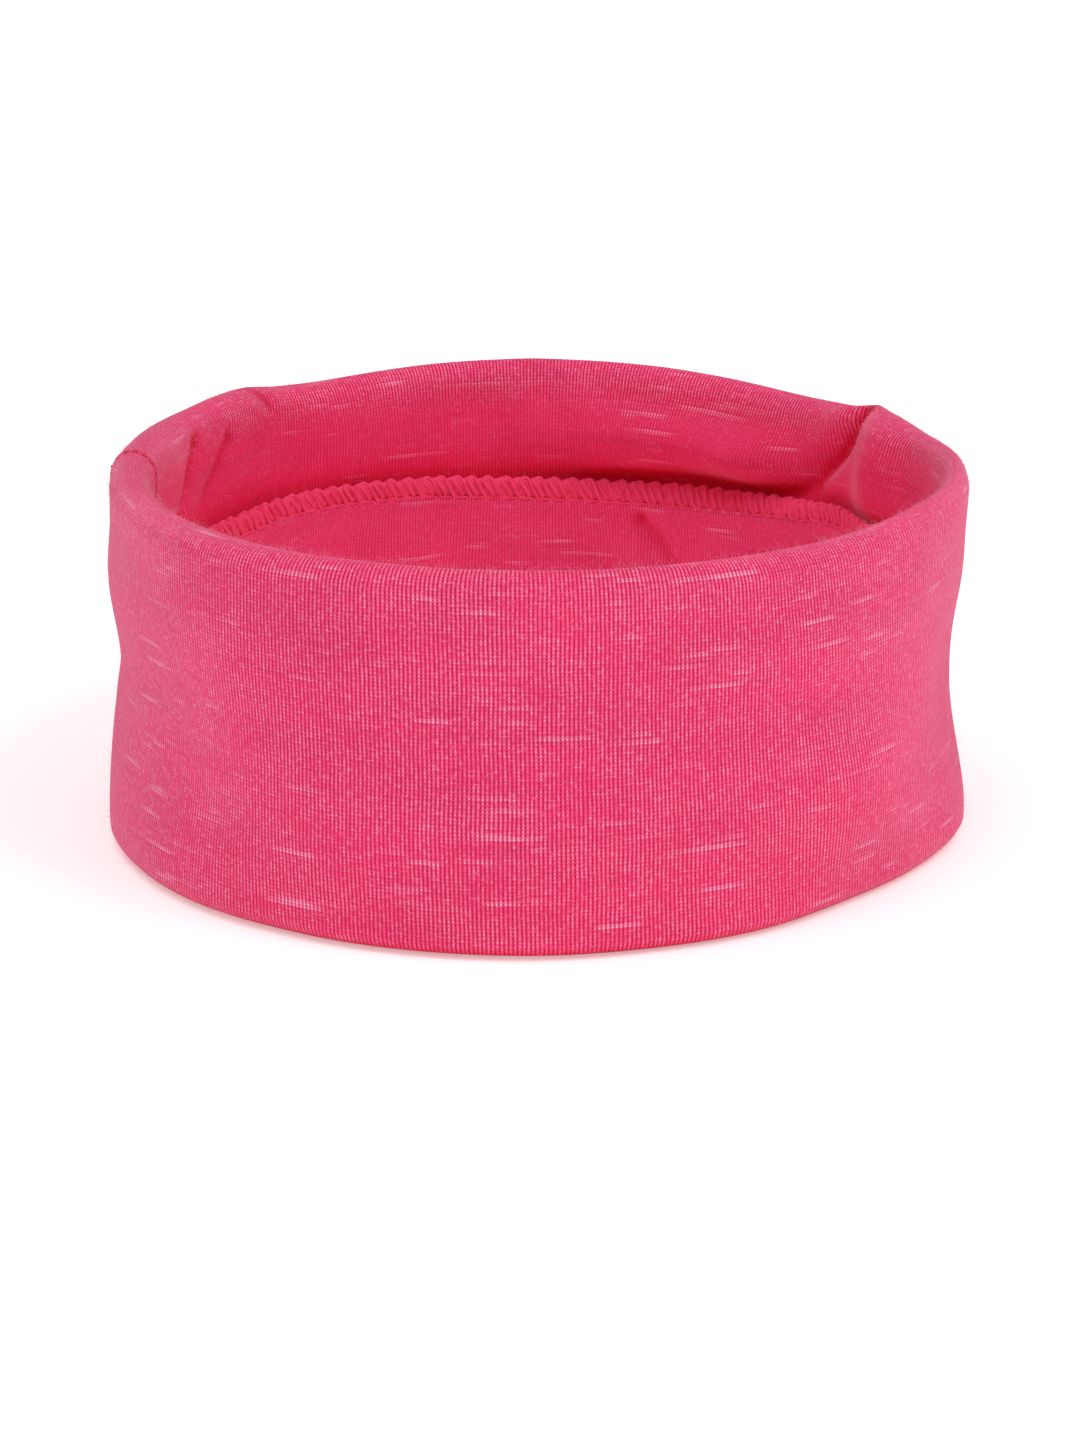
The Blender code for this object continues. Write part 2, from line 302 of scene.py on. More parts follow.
# a smooth curve through points: cubic pieces whose slope at each point is half the line
# from the one before to the one after, then places at even steps along its length
def smoothThrough(points, count):
    points = np.array(points, float)
    before = np.vstack([2 * points[0] - points[1], points[:-1]])
    after = np.vstack([points[1:], 2 * points[-1] - points[-2]])
    slopes = (after - before) / 2
    share = np.linspace(0.0, 1.0, 24, endpoint=False)[None, :, None]
    start, end = points[:-1, None], points[1:, None]
    slopeStart, slopeEnd = slopes[:-1, None], slopes[1:, None]
    curve = (
        start * (1 + 2 * share) * (1 - share) ** 2
        + slopeStart * share * (1 - share) ** 2
        + end * share**2 * (3 - 2 * share)
        + slopeEnd * share**2 * (share - 1)
    )
    curve = np.vstack([curve.reshape(-1, 2), points[-1:]])
    length = np.concatenate([[0.0], np.cumsum(np.linalg.norm(np.diff(curve, axis=0), axis=1))])
    even = np.linspace(0.0, length[-1], count)
    return np.stack([np.interp(even, length, curve[:, k]) for k in (0, 1)], axis=1), even


# the right side of the strip in the band's plain section, as (inset, height): out of the
# seam, up the inner face, over the top fold, down the outer face, under the lower fold,
# up the inner face and into the seam over a small lip
def stripSection(count):
    thick, tall, seam = bandShape["thickness"], bandShape["height"], sewingHeight
    radius = thick / 2
    turn = np.radians(np.arange(0, 181, 22.5))
    top = np.stack([radius + radius * np.cos(turn), tall - radius + radius * np.sin(turn)], axis=1)
    foot = np.stack([radius - radius * np.cos(turn), radius - radius * np.sin(turn) ** 0.8], axis=1)
    points = [
        (thick + 0.0010, seam + 0.0004),
        (thick + 0.0004, seam + 0.0009),
        (thick, seam + 0.0022),
        (thick, seam + 0.0060),
        (thick, seam + 0.0130),
        *top,
        (0.0, tall * 0.75),
        (0.0, tall * 0.5),
        (0.0, tall * 0.25),
        *foot,
        (thick, tall * 0.22),
        (thick, tall * 0.38),
        (thick + 0.0002, seam - 0.0110),
        (thick + 0.0008, seam - 0.0065),
        (thick + 0.0019, seam - 0.0030),
        (thick + 0.0027, seam - 0.0012),
        (thick + 0.0029, seam - 0.0004),
        (thick + 0.0025, seam + 0.0001),
        (thick + 0.0017, seam + 0.0003),
    ]
    return smoothThrough(points, count)


# normals to the strip's right side: the section's unit tangent turned a quarter
def sectionNormals(section):
    tangent = np.gradient(section, axis=0)
    tangent /= np.linalg.norm(tangent, axis=1)[:, None]
    return np.stack([tangent[:, 1], -tangent[:, 0]], axis=1)


# one step for the maths of a material: wraps a socket, and an expression adds its nodes
class Value:
    def __init__(self, tree, socket):
        self.tree = tree
        self.socket = socket

    def math(self, operation, *others):
        return self.tree.node("ShaderNodeMath", {"operation": operation}, [self, *others])[0]

    def __add__(self, other):
        return self.math("ADD", other)

    def __radd__(self, other):
        return self.math("ADD", other)

    def __sub__(self, other):
        return self.math("SUBTRACT", other)

    def __rsub__(self, other):
        return self.tree.node("ShaderNodeMath", {"operation": "SUBTRACT"}, [other, self])[0]

    def __mul__(self, other):
        return self.math("MULTIPLY", other)

    def __rmul__(self, other):
        return self.math("MULTIPLY", other)

    def __truediv__(self, other):
        return self.math("DIVIDE", other)

    def __rtruediv__(self, other):
        return self.tree.node("ShaderNodeMath", {"operation": "DIVIDE"}, [other, self])[0]

    def sin(self):
        return self.math("SINE")

    def floor(self):
        return self.math("FLOOR")

    def fraction(self):
        return self.math("FRACT")

    def size(self):
        return self.math("ABSOLUTE")

    def step(self, low, high):
        return self.tree.node(
            "ShaderNodeMapRange",
            {"interpolation_type": "SMOOTHSTEP"},
            {"Value": self, "From Min": low, "From Max": high},
        )[0]


# a material's node tree; node() sets the settings first, then the sockets
class Finish:
    def __init__(self, name):
        self.material = bpy.data.materials.new(name)
        self.material.use_nodes = True
        self.nodes = self.material.node_tree.nodes
        self.links = self.material.node_tree.links
        self.shader = self.nodes["Principled BSDF"]

    def node(self, kind, settings=None, values=None):
        made = self.nodes.new(kind)
        for setting, value in (settings or {}).items():
            setattr(made, setting, value)
        pairs = values.items() if isinstance(values, dict) else enumerate(values or [])
        for key, value in pairs:
            self.put(made.inputs[key], value)
        return [Value(self, socket) for socket in made.outputs]

    def put(self, socket, value):
        if isinstance(value, Value):
            self.links.new(value.socket, socket)
        else:
            socket.default_value = value

    def clothPlace(self, name):
        place = self.node("ShaderNodeUVMap", {"uv_map": name})[0]
        parts = self.node("ShaderNodeSeparateXYZ", {}, [place])
        return parts[0], parts[1]

    def pattern(self, x, y, scale, detail):
        place = self.node("ShaderNodeCombineXYZ", {}, [x, y, 0.0])[0]
        return self.node(
            "ShaderNodeTexNoise",
            {"noise_dimensions": "2D"},
            {"Vector": place, "Scale": scale, "Detail": detail},
        )[0]

    def mix(self, factor, first, second, blend="MIX"):
        settings = {"data_type": "RGBA", "blend_type": blend, "clamp_factor": True}
        made = self.node("ShaderNodeMix", settings, {"Factor": factor, "A": first, "B": second})
        return made[2]

    def bump(self, height, strength, distance):
        return self.node(
            "ShaderNodeBump", {}, {"Strength": strength, "Distance": distance, "Height": height}
        )[0]

    def finish(self, **sockets):
        for key, value in sockets.items():
            self.put(self.shader.inputs[key], value)
        return self.material


jerseyLook = {
    "waleWidth": 0.00076,
    "courseHeight": 0.00069,
    "pink": (0.93, 0.058, 0.202, 1.0),
    "gapShadePink": (0.56, 0.002, 0.024, 1.0),
    "highlightAndSlubPink": (1.0, 0.520, 0.700, 1.0),
    "slubPink": (0.97, 0.200, 0.370, 1.0),
    "bumpDepth": 0.00018,
    "roughness": 0.9,
    "specular": 0.12,
    "sheen": 0.50,
    "sheenRoughness": 0.24,
    "sheenTint": (1.0, 0.72, 0.92, 1.0),
    "streak": 1.7,  # how pale the thick yarn is
    "innerCalm": 0.55,  # how much fainter the stitches are on the inner face
    # painted shade on the inner face: a deeper pink that stands in for the shade and the red light
    # thrown between the walls inside the loop, darker on the upper part than the lower; its places up
    # the strip's right side, and its tints
    "innerShadeFrom": (0.0200, 0.1030),
    "upperShadeTint": (0.89, 0.53, 0.66, 1.0),
    "lowerShadeTint": (0.90, 0.80, 0.86, 1.0),
    # painted shade beside the long seam
    "seamShadeTint": (1.0, 0.42, 0.58, 1.0),
    # painted shade in the inner face's hollows, along the table and in the cross seam's cleft
    "hollowShadeTint": (0.80, 0.11, 0.26, 1.0),
}


# slub jersey: columns of stitches with painted shade in the gaps between them and a painted highlight on
# each stitch; where the yarn is thick, a row loses its gaps and its spots turn the yarn's own pale pink
def slubJersey(name):
    look = jerseyLook
    lowest, highest = look["innerShadeFrom"]
    cloth = Finish(name)
    along, up = cloth.clothPlace("cloth")
    drift = cloth.pattern(along, up, 110.0, 2.0) - 0.5
    fluff = cloth.pattern(along * 0.30, up, 2000.0, 2.0)
    wale = along / look["waleWidth"] + drift * 0.5
    course = up / look["courseHeight"]
    waleBand, rowBand = wale.floor(), course.floor()
    side = (wale.fraction() * 2 - 1).size()  # 0 at the middle of a wale, 1 at its edges
    risen = (course - side * 0.50).fraction()  # 0 to 1 up each stitch
    loop = (risen * (2 * math.pi)).sin() * 0.5 + 0.5
    stitchPlace = cloth.node("ShaderNodeCombineXYZ", {}, [waleBand, rowBand, 0.0])[0]
    speck = cloth.node("ShaderNodeTexWhiteNoise", {"noise_dimensions": "2D"}, {"Vector": stitchPlace})[0]
    patch = cloth.pattern(along * 0.5, up, 130.0, 3.0).step(0.35, 0.68)  # brighter places
    cloudy = cloth.pattern(along * 0.6, up, 60.0, 2.0)
    cluster = cloth.pattern(along * 0.45, up, 55.0, 1.0).step(0.30, 0.62)
    thick = cloth.pattern(wale * 0.040, rowBand * 7.31, 1.0, 1.5).step(0.645, 0.82)
    slub = thick * (0.25 + cluster * 0.75)
    bar = cloth.pattern(wale * 0.016, rowBand * 3.77 + 40.0, 1.0, 1.0) - 0.5  # uneven rows
    upper = 1 - up.step(lowest - 0.004, lowest + 0.004)
    lower = up.step(highest - 0.004, highest + 0.004)
    crisp = 1 - (lower + upper) * look["innerCalm"]
    # painted shade in the gaps between the columns of stitches; painted highlights on the stitches, and
    # the pale thick yarn's own colour
    gapShade = side.step(0.42, 0.94) * (0.58 + loop * 0.42) * (1 - slub * 0.40) * crisp
    spot = (1 - side.step(0.05, 0.66)) * (0.20 + (1 - loop).step(0.15, 0.95) * 0.80)
    highlightsAndSlubs = spot * (0.03 + patch * 0.16 + speck * speck * 0.52) + fluff.step(0.60, 0.72) * 0.14
    highlightsAndSlubs = highlightsAndSlubs * crisp + spot * slub * look["streak"]
    base = cloth.mix(gapShade, look["pink"], look["gapShadePink"])
    base = cloth.mix(slub * 0.28, base, look["slubPink"])
    base = cloth.mix(highlightsAndSlubs, base, look["highlightAndSlubPink"])
    tone = 1.0 + bar * 0.12 + (cloudy - 0.5) * 0.20 + (fluff - 0.5) * 0.14
    shade = cloth.node("ShaderNodeCombineColor", {}, [tone, tone, tone])[0]
    colour = cloth.mix(1.0, base, shade, "MULTIPLY")
    # painted shade: the lower and upper parts of the inner face turn a deeper pink
    colour = cloth.mix(lower, colour, cloth.mix(1.0, colour, look["lowerShadeTint"], "MULTIPLY"))
    colour = cloth.mix(upper, colour, cloth.mix(1.0, colour, look["upperShadeTint"], "MULTIPLY"))
    # painted shade on the inner face beside the long seam, darker towards the seam
    seamShade = 1 - up.step(0.003, 0.012)
    colour = cloth.mix(seamShade, colour, cloth.mix(1.0, colour, look["seamShadeTint"], "MULTIPLY"))
    # painted shade: a deeper, darker pink in the hollows of the inner face, along the table and in the
    # cross seam's cleft
    hollowShade = cloth.node("ShaderNodeAttribute", {"attribute_name": "hollowShade"})[2]
    colour = cloth.mix(hollowShade, colour, cloth.mix(1.0, colour, look["hollowShadeTint"], "MULTIPLY"))
    height = (1 - side * side) * (0.82 + loop * 0.18) * crisp + slub * 0.3 + (speck - 0.5) * 0.15
    return cloth.finish(
        **{
            "Base Color": colour,
            "Roughness": look["roughness"],
            "Specular IOR Level": look["specular"],
            "Sheen Weight": look["sheen"],
            "Sheen Roughness": look["sheenRoughness"],
            "Sheen Tint": look["sheenTint"],
            "Normal": cloth.bump(height, 0.8, look["bumpDepth"]),
        }
    )


threadLook = {
    "pink": (0.90, 0.055, 0.170, 1.0),
    "shadedPink": (0.80, 0.028, 0.100, 1.0),
    "crossPink": (0.70, 0.016, 0.060, 1.0),
    "crossShade": (0.50, 0.004, 0.024, 1.0),
    "sheenTint": (1.0, 0.7, 0.8, 1.0),
    # depth of the strands, on a thread and on the puffed edge
    "fine": 0.00010,
    "coarse": 0.00030,
}


# woolly sewing thread: noise drawn out along the thread makes many fine strands side by
# side, in the thread's pink where they stand up and with painted shade, a deep pink, between them
def woollyThread(name, depth, paleName, shadeName):
    yarn = Finish(name)
    along, around = yarn.clothPlace("cloth")
    strands = yarn.pattern(along * 300.0, around * 5.0, 1.0, 2.0)
    fluff = yarn.pattern(along * 900.0, around * 14.0, 1.0, 2.0)
    height = strands * 0.7 + fluff * 0.3
    # painted shade: the deep pink between the strands, the thread's pink on their tops
    colour = yarn.mix(height.step(0.30, 0.60), threadLook[shadeName], threadLook[paleName])
    return yarn.finish(
        **{
            "Base Color": colour,
            "Roughness": 0.75,
            "Specular IOR Level": 0.25,
            "Sheen Weight": 0.10,
            "Sheen Roughness": 0.4,
            "Sheen Tint": threadLook["sheenTint"],
            "Normal": yarn.bump(height, 0.5, depth),
        }
    )


panelMesh = {
    "columns": 490,
    "seamColumns": 10,
    "seamReach": 0.0035,
    "rows": 132,
    "wrongRows": 56,
    # the columns of stitches lean on the right of the front: slope, angle, reach in degrees
    "lean": (-0.13, 318.0, 26.0),
    # the cross seam's cleft
    "lip": 0.0013,
    "cleftDepth": 0.0016,
    "lipRise": 0.00035,
}


# how far the columns of stitches lean, as a slope: a bell round one angle
def leanOfWales(distance):
    slope, centre, reach = panelMesh["lean"]
    angle = 180.0 + np.degrees(distance / loopRadius)
    return slope * np.exp(-((turnBetween(angle, centre) / reach) ** 2))


# the knit panel: the strip's section carried round the loop, right side and wrong side,
# with the cross seam as a cleft between two rounded lips
def knitPanel(material):
    lip = panelMesh["lip"]
    near = lip * (1 - np.cos(np.linspace(0.0, np.pi / 2, panelMesh["seamColumns"])))
    near = np.append(near, [panelMesh["seamReach"] * 0.55, panelMesh["seamReach"]])
    middle = np.linspace(near[-1], loopLength - near[-1], panelMesh["columns"])[1:-1]
    distance = np.concatenate([near, middle, loopLength - near[:0:-1]])
    section, length = stripSection(panelMesh["rows"])
    wrongSection, wrongLength = stripSection(panelMesh["wrongRows"])
    wrongSection = wrongSection - sectionNormals(wrongSection) * bandShape["cloth"]
    rows = np.vstack([section, wrongSection[::-1]])
    across = np.concatenate([length, wrongLength[::-1], [length[0]]])
    normals = np.vstack([sectionNormals(section), sectionNormals(wrongSection)[::-1]])
    away = np.minimum(distance, loopLength - distance)
    rounding = np.clip(1 - away / lip, 0.0, 1.0)
    cleft = panelMesh["cleftDepth"] * (1 - np.sqrt(1 - rounding**2))
    cleft = cleft - panelMesh["lipRise"] * np.exp(-(((away - lip * 1.4) / 0.0012) ** 2))
    shifted = rows[None] - normals[None] * cleft[:, None, None]
    points = placeInBand(distance[:, None], shifted[..., 0], shifted[..., 1])
    distance = np.append(distance, loopLength)
    along = distance[:, None] + leanOfWales(distance)[:, None] * (across - across.mean())
    panel = gridMesh("knit_cloth_panel", points, True, along, across, material)
    # painted shade, from 0 to 1: in the hollows of the inner face, where the band lies on the table, and
    # in the cross seam's cleft
    hollowShade = hollowShadeAt(distance[:-1, None], rows[None, :, 0], rows[None, :, 1])
    hollowShade = np.maximum(hollowShade, 0.6 * softStep(0.0011, 0.0003, away)[:, None])  # the seam's cleft
    layer = panel.data.attributes.new("hollowShade", "FLOAT", "POINT")
    layer.data.foreach_set("value", hollowShade.ravel().astype(np.float32))
    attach(panel, "root")
    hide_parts("knit_panel")


jersey = slubJersey("slub jersey")
thread = woollyThread("woolly thread", threadLook["fine"], "pink", "shadedPink")
puffedEdge = woollyThread("cloth under the looper threads", threadLook["coarse"], "pink", "shadedPink")
crossThread = woollyThread("thread in the cross seam", threadLook["fine"], "crossPink", "crossShade")
knitPanel(jersey)
print("knit panel done")

stitching = {
    "pitch": 0.0035,
    "edgeLow": -0.0005,  # from the sewing line
    "edgeHigh": 0.0037,
    "edgeInset": 0.0017,  # middle of the seam allowance, past the band's inner face
    "edgeHalfThickness": 0.00085,
    "puff": 0.17,
    "lean": 0.0021,
    "looperRadius": 0.00040,
    "needleRadius": 0.00020,
    "sides": 7,
    "wander": 0.15,  # how far the stitches stray, as a share of one
    "scallop": 0.00022,  # how far the raw edge rises at each stitch
    "needleInset": 0.0027,  # the cloth under the needle thread, past the band's inner face
    "needleDip": 0.0007,
}
seamRadius = loopRadius - bandShape["thickness"] - stitching["edgeInset"]
stitchCount = round(2 * math.pi * seamRadius / stitching["pitch"])
stitchStep = loopLength / stitchCount  # as a distance round the outer face
wander = stitching["wander"] * stitchStep * rng.standard_normal(stitchCount)


# half thickness of the sewn edge: full in the middle and closed at both edges, puffed up
# between the looper threads, which lean
def edgeHalfThickness(distance, height):
    low, high = stitching["edgeLow"], stitching["edgeHigh"]
    share = np.clip((height - sewingHeight - (low + high) / 2) / ((high - low) / 2), -1, 1)
    phase = (distance - stitching["lean"] * share) / (stitchStep / 2)
    puff = 1 + stitching["puff"] * np.cos(2 * np.pi * (phase + 0.5))
    return stitching["edgeHalfThickness"] * puff * (1 - abs(share) ** 3.2) ** 0.5


# the sewn edge: both raw edges of the strip standing up together on the inner face, a
# flat rounded section carried round the loop, with a scalloped top
def sewnEdge(material):
    columns, rows = stitchCount * 12, 22
    distance = np.arange(columns) * loopLength / columns
    turn = 2 * np.pi * np.arange(rows) / rows
    low, high = stitching["edgeLow"], stitching["edgeHigh"]
    share = np.sign(np.sin(turn)) * abs(np.sin(turn)) ** 0.8
    scallop = stitching["scallop"] * np.cos(2 * np.pi * distance / stitchStep)[:, None]
    scallop = scallop * softStep(0.5, 1.0, share)
    height = sewingHeight + (low + high) / 2 + share * (high - low) / 2 + 0.0 * distance[:, None]
    half = edgeHalfThickness(distance[:, None], height)
    half = np.where(np.cos(turn) >= 0, half, -half)
    half[:, np.isclose(abs(share), 1.0)] = 0.0
    inset = bandShape["thickness"] + stitching["edgeInset"] + half
    points = placeInBand(distance[:, None], inset, height + scallop)
    along = np.arange(columns + 1) * loopLength / columns
    across = np.arange(rows + 1) / rows
    along = along[:, None] + 0.0 * across
    edge = gridMesh("sewn_edge", points[:, ::-1], True, along, across, material)
    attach(edge, "root")
    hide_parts("knit_panel")


# a thread: a round section carried along a path, kept square to it
def tube(name, path, radius, closed, material, sides):
    if closed:
        tangent = np.roll(path, -1, axis=0) - np.roll(path, 1, axis=0)
    else:
        tangent = np.gradient(path, axis=0)
    tangent /= np.linalg.norm(tangent, axis=1)[:, None]
    inward = -path * np.array([1.0, 1.0, 0.0])
    inward -= (inward * tangent).sum(axis=1)[:, None] * tangent
    inward /= np.linalg.norm(inward, axis=1)[:, None]
    sideways = np.cross(tangent, inward)
    turn = 2 * np.pi * np.arange(sides) / sides
    ring = np.cos(turn)[:, None] * inward[:, None] + np.sin(turn)[:, None] * sideways[:, None]
    points = path[:, None] + radius * ring
    step = np.linalg.norm(np.diff(path, axis=0), axis=1)
    length = np.concatenate([[0.0], np.cumsum(step)])
    if closed:
        length = np.append(length, length[-1] + np.linalg.norm(path[0] - path[-1]))
    across = np.arange(sides + 1) / sides
    length = length[:, None] + 0.0 * across
    return gridMesh(name, points[:, ::-1], closed, length, across, material)


# the places of a looper thread, as (distance, height, share of the edge's half thickness),
# the same in each stitch: up a leaning leg, along the raw edge, down a second leg and along
# the sewing line
def looperPath():
    lean, half = stitching["lean"], stitchStep / 2
    low, high = stitching["edgeLow"] + 0.0006, stitching["edgeHigh"] - 0.0001
    middle = (low + high) / 2
    corners = np.array(
        [
            (0.0, low, 1.0),
            (lean * 0.5, middle, 1.0),
            (lean * 0.93, high - 0.0005, 1.0),
            (lean + half * 0.35, high + 0.00015, 0.25),
            (lean + half * 0.80, high + 0.00005, 0.45),
            (half + lean * 0.97, high - 0.0007, 1.0),
            (half + lean * 0.5, middle, 1.0),
            (half + lean * 0.05, low + 0.0003, 1.0),
            (half + half * 0.35, low - 0.0001, 1.0),
        ]
    )
    stitch = np.arange(stitchCount)[:, None]
    distance = stitch * stitchStep + corners[:, 0] + wander[:, None]
    height = corners[:, 1] + 0.0 * stitch
    reach = corners[:, 2] + 0.0 * stitch
    return np.stack([distance.ravel(), height.ravel(), reach.ravel()], axis=1)


# a closed curve through the rows of a path whose first column grows by one loop: cubic
# pieces whose slope at each row is half the line from the row before to the row after
def roundAndRound(path, steps):
    wrap = np.array([loopLength, 0.0, 0.0])
    before = np.vstack([path[-1] - wrap, path[:-1]])
    after = np.vstack([path[1:], path[0] + wrap])
    slope = (after - before) / 2
    nextSlope = np.vstack([slope[1:], slope[:1]])
    share = np.linspace(0.0, 1.0, steps, endpoint=False)[None, :, None]
    curve = (
        path[:, None] * (1 + 2 * share) * (1 - share) ** 2
        + slope[:, None] * share * (1 - share) ** 2
        + after[:, None] * share**2 * (3 - 2 * share)
        + nextSlope[:, None] * share**2 * (share - 1)
    )
    return curve.reshape(-1, 3)


# a looper thread: its path laid on the puffed surface of the sewn edge, on one side of it
def looperThread(name, node, side):
    path = roundAndRound(looperPath(), 3)
    distance, height, reach = path.T
    height = sewingHeight + height
    half = edgeHalfThickness(distance, height) * 0.92 + 0.30 * stitching["looperRadius"]
    inset = bandShape["thickness"] + stitching["edgeInset"] + side * half * reach
    points = placeInBand(distance, inset, height)
    piece = tube(name, points, stitching["looperRadius"], True, thread, stitching["sides"])
    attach(piece, "root")
    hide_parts(node)


# the needle thread: long stitches along the sewing line that dip at each hole
def needleThread():
    steps = 14
    distance = np.arange(stitchCount * steps) * stitchStep / steps
    dip = 0.5 + 0.5 * np.cos(2 * np.pi * distance / stitchStep)
    height = sewingHeight - 0.0001 + 0.00008 * np.sin(2 * np.pi * distance / stitchStep)
    face = bandShape["thickness"] + stitching["needleInset"]
    inset = face + stitching["needleRadius"] * 0.6 - stitching["needleDip"] * dip**4
    points = placeInBand(distance, inset, height)
    piece = tube("long_seam_needle_stitches", points, stitching["needleRadius"], True, thread, 6)
    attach(piece, "root")
    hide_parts("long_seam_needle_thread")


sewnEdge(puffedEdge)
looperThread("upper_looper_stitches", "long_seam_upper_looper_thread", 1)
looperThread("lower_looper_stitches", "long_seam_lower_looper_thread", -1)
needleThread()
print("long seam done")

crossThreads = {
    "radius": 0.00030,
    "pitch": 0.0020,
    # how far each thread swings round the loop, low and high, and its depth in the cloth
    "needle": (-0.00045, 0.00045, 0.0001),
    "upper_looper": (0.0018, 0.0046, 0.0030),
    "lower_looper": (0.0018, 0.0046, 0.0014),
}


# a thread of the cross seam: it runs along the strip's section, below its right side, and
# zigzags as a cosine while its depth goes up and down as a sine
def crossRun(kind):
    low, high, depth = crossThreads[kind]
    radius = crossThreads["radius"]
    section, length = stripSection(400)
    normals = sectionNormals(section)
    start, end = length[-1] * 0.06, length[-1] * 0.90
    stitches = round((end - start) / crossThreads["pitch"])
    where = np.linspace(start, end, stitches * 12 + 1)
    place = [np.interp(where, length, section[:, k]) for k in (0, 1)]
    facing = [np.interp(where, length, normals[:, k]) for k in (0, 1)]
    phase = np.arange(stitches * 12 + 1) / 12
    zigzag = (low + high) / 2 + (high - low) / 2 * np.cos(2 * np.pi * phase)
    below = depth - radius * 0.8 * np.sin(2 * np.pi * phase)
    points = placeInBand(zigzag, place[0] - facing[0] * below, place[1] - facing[1] * below)
    piece = tube("cross_seam_" + kind + "_stitches", points, radius, False, crossThread, 6)
    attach(piece, "root")
    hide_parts("cross_seam_" + kind + "_thread")


for kind in ("needle", "upper_looper", "lower_looper"):
    crossRun(kind)
print("cross seam done")

fuzz = {
    "count": 14000,
    "shortest": 0.0006,
    "longest": 0.0024,
    "radius": 0.000021,
    "points": 3,
    "root": 0.0001,  # how deep it starts in the cloth
    "colour": (0.97, 0.40, 0.56, 1.0),
}


# loose fibre ends: fine tapered three-sided hairs that rise off the right side along an
# arc of a circle, more of them on the folds than on the flat faces, none below the floor
def looseFibres():
    paint = Finish("loose fibres")
    looks = {"Base Color": fuzz["colour"], "Roughness": 0.7, "Specular IOR Level": 0.2}
    material = paint.finish(**looks)
    section, length = stripSection(400)
    normals = sectionNormals(section)
    fold = 0.15 + softStep(0.80, 0.97, section[:, 1] / bandShape["height"])
    fold = fold + 0.6 * softStep(0.10, 0.02, section[:, 1] / bandShape["height"])
    chance = np.cumsum(fold) / fold.sum()
    count = fuzz["count"]
    where = np.interp(rng.random(count), chance, length)
    start = rng.random(count) * loopLength
    size = fuzz["shortest"] + (fuzz["longest"] - fuzz["shortest"]) * rng.random(count) ** 2.5
    share = np.linspace(0.0, 1.0, fuzz["points"])
    bend = rng.uniform(0.5, 1.5, count)
    heading = rng.uniform(0.0, 2 * np.pi, count)
    reach, bend = size[:, None], bend[:, None]
    lift = reach * np.sin(share * bend) / bend - fuzz["root"]
    drift = reach * (1 - np.cos(share * bend)) / bend + 0.3 * reach * share
    distance = start[:, None] + drift * np.cos(heading)[:, None]
    travel = np.clip(where[:, None] + drift * np.sin(heading)[:, None], 0.0, length[-1])
    place = [np.interp(travel, length, section[:, k]) for k in (0, 1)]
    facing = [np.interp(travel, length, normals[:, k]) for k in (0, 1)]
    inset, height = place[0] + facing[0] * lift, place[1] + facing[1] * lift
    path = placeInBand(distance, inset, height)
    path = path[path[..., 2].min(axis=1) > fuzz["radius"]]
    tangent = np.gradient(path, axis=1)
    tangent /= np.linalg.norm(tangent, axis=2)[..., None]
    sideways = np.cross(tangent, np.array([0.31, 0.17, 0.93]))
    sideways /= np.linalg.norm(sideways, axis=2)[..., None]
    upward = np.cross(tangent, sideways)
    turn = 2 * np.pi * np.arange(3) / 3
    taper = fuzz["radius"] * (1 - 0.75 * share)[None, :, None, None]
    ring = np.cos(turn)[:, None] * sideways[:, :, None] + np.sin(turn)[:, None] * upward[:, :, None]
    points = (path[:, :, None] + taper * ring).reshape(-1, 3)
    first = np.arange(len(path))[:, None, None] * (fuzz["points"] * 3)
    level, around = np.meshgrid(np.arange(fuzz["points"] - 1), np.arange(3), indexing="ij")
    corner = first + level * 3 + around
    beside = first + level * 3 + (around + 1) % 3
    sides = np.stack([corner, beside, beside + 3, corner + 3], axis=-1).reshape(-1, 4)
    foot = first[:, 0] + np.array([2, 1, 0])
    tip = first[:, 0] + (fuzz["points"] - 1) * 3 + np.array([0, 1, 2])
    mesh = bpy.data.meshes.new("loose_fibres")
    mesh.from_pydata(points.tolist(), [], sides.tolist() + foot.tolist() + tip.tolist())
    mesh.shade_smooth()
    mesh.materials.append(material)
    fibres = bpy.data.objects.new("loose_fibres", mesh)
    bpy.context.scene.collection.objects.link(fibres)
    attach(fibres, "root")
    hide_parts("knit_panel")


looseFibres()
print("fibres done")

studio = {
    "distance": 0.650,
    "elevation": 17.82,
    "lens": 85.9,
    "aim": (0.00177, 0.0, 0.01712),
    # the floor lights itself a little, less beside the band than further off
    "nearGlow": (0.31, 0.32, 0.32, 1.0),
    "farGlow": (0.42, 0.42, 0.42, 1.0),
    "floorHalf": 6.0,
    "worldStrength": 0.57,
    # a disk each: place, size, power
    "lights": {
        "key": ((0.58, -0.36, 1.00), 0.6, 3.85),
        "top": ((-0.36, -0.22, 1.12), 0.8, 2.75),
    },
}


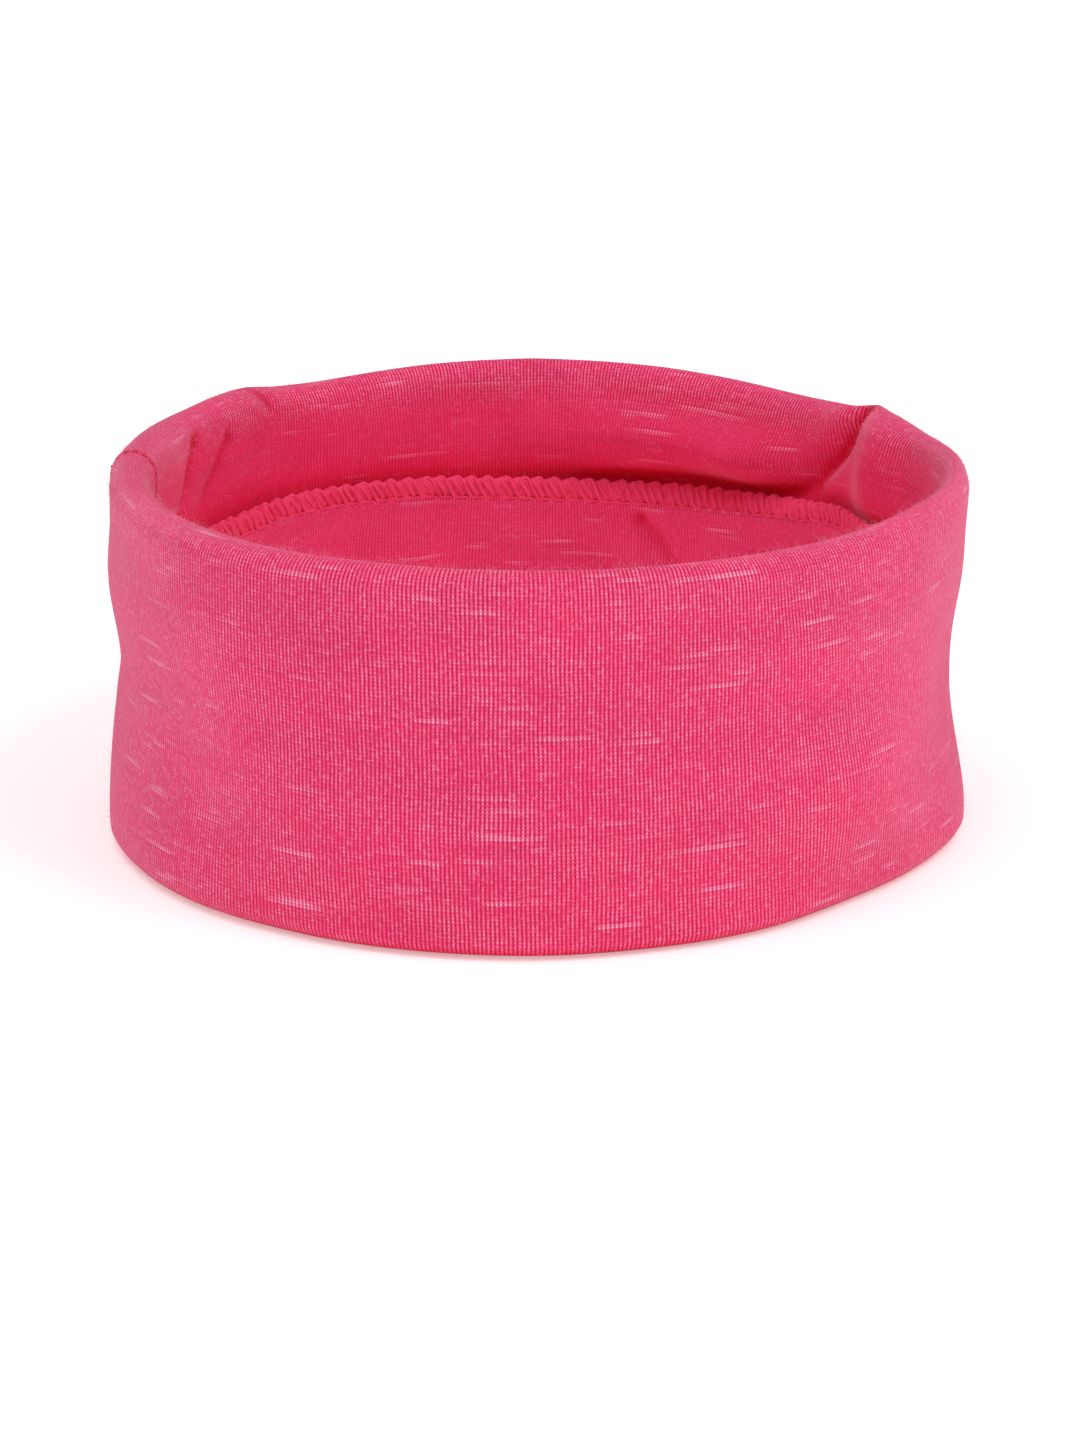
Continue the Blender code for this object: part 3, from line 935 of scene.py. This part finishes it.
# a white square floor, far wider than the band
def paleFloor():
    mesh = bpy.data.meshes.new("floor")
    half = studio["floorHalf"]
    corners = [(-half, -half, 0), (half, -half, 0), (half, half, 0), (-half, half, 0)]
    mesh.from_pydata(corners, [], [(0, 1, 2, 3)])
    floor = bpy.data.objects.new("floor", mesh)
    bpy.context.scene.collection.objects.link(floor)
    paint = Finish("white floor")
    place = paint.node("ShaderNodeTexCoord")[3]  # object coordinates
    away = paint.node("ShaderNodeVectorMath", {"operation": "LENGTH"}, [place])[1]
    glow = paint.mix(away.step(0.10, 0.60), studio["nearGlow"], studio["farGlow"])
    mesh.materials.append(
        paint.finish(
            **{
                "Base Color": (0.95, 0.95, 0.95, 1.0),
                "Roughness": 0.9,
                "Specular IOR Level": 0.1,
                "Emission Color": glow,
                "Emission Strength": 1.0,
            }
        )
    )


# the camera looks along a line that falls by the elevation, and each light's disk is
# turned square to the line from it to the middle of the band
def cameraAndLights():
    scene = bpy.context.scene
    camera = bpy.data.objects.new("camera", bpy.data.cameras.new("camera"))
    scene.collection.objects.link(camera)
    camera.data.lens = studio["lens"]
    camera.data.sensor_width = 36.0
    camera.data.clip_start = 0.01
    camera.data.clip_end = 50.0
    rise = math.radians(studio["elevation"])
    aim = studio["aim"]
    camera.location = (
        aim[0],
        aim[1] - studio["distance"] * math.cos(rise),
        aim[2] + studio["distance"] * math.sin(rise),
    )
    camera.rotation_euler = (math.pi / 2 - rise, 0.0, 0.0)
    scene.camera = camera
    world = bpy.data.worlds.new("studio")
    world.use_nodes = True
    sky = world.node_tree.nodes["Background"]
    sky.inputs["Color"].default_value = (1.0, 1.0, 1.0, 1.0)
    sky.inputs["Strength"].default_value = studio["worldStrength"]
    scene.world = world
    for name, (place, size, power) in studio["lights"].items():
        lamp = bpy.data.lights.new(name, "AREA")
        lamp.shape = "DISK"
        lamp.size = size
        lamp.energy = power
        light = bpy.data.objects.new(name, lamp)
        scene.collection.objects.link(light)
        light.location = place
        towards = np.array([0.0, 0.0, 0.03]) - np.array(place)
        flat = math.hypot(towards[0], towards[1])
        heading = math.atan2(towards[1], towards[0]) - math.pi / 2
        light.rotation_euler = (math.atan2(flat, -towards[2]), 0.0, heading)
    scene.view_settings.view_transform = "Standard"


paleFloor()
cameraAndLights()
print("studio done")
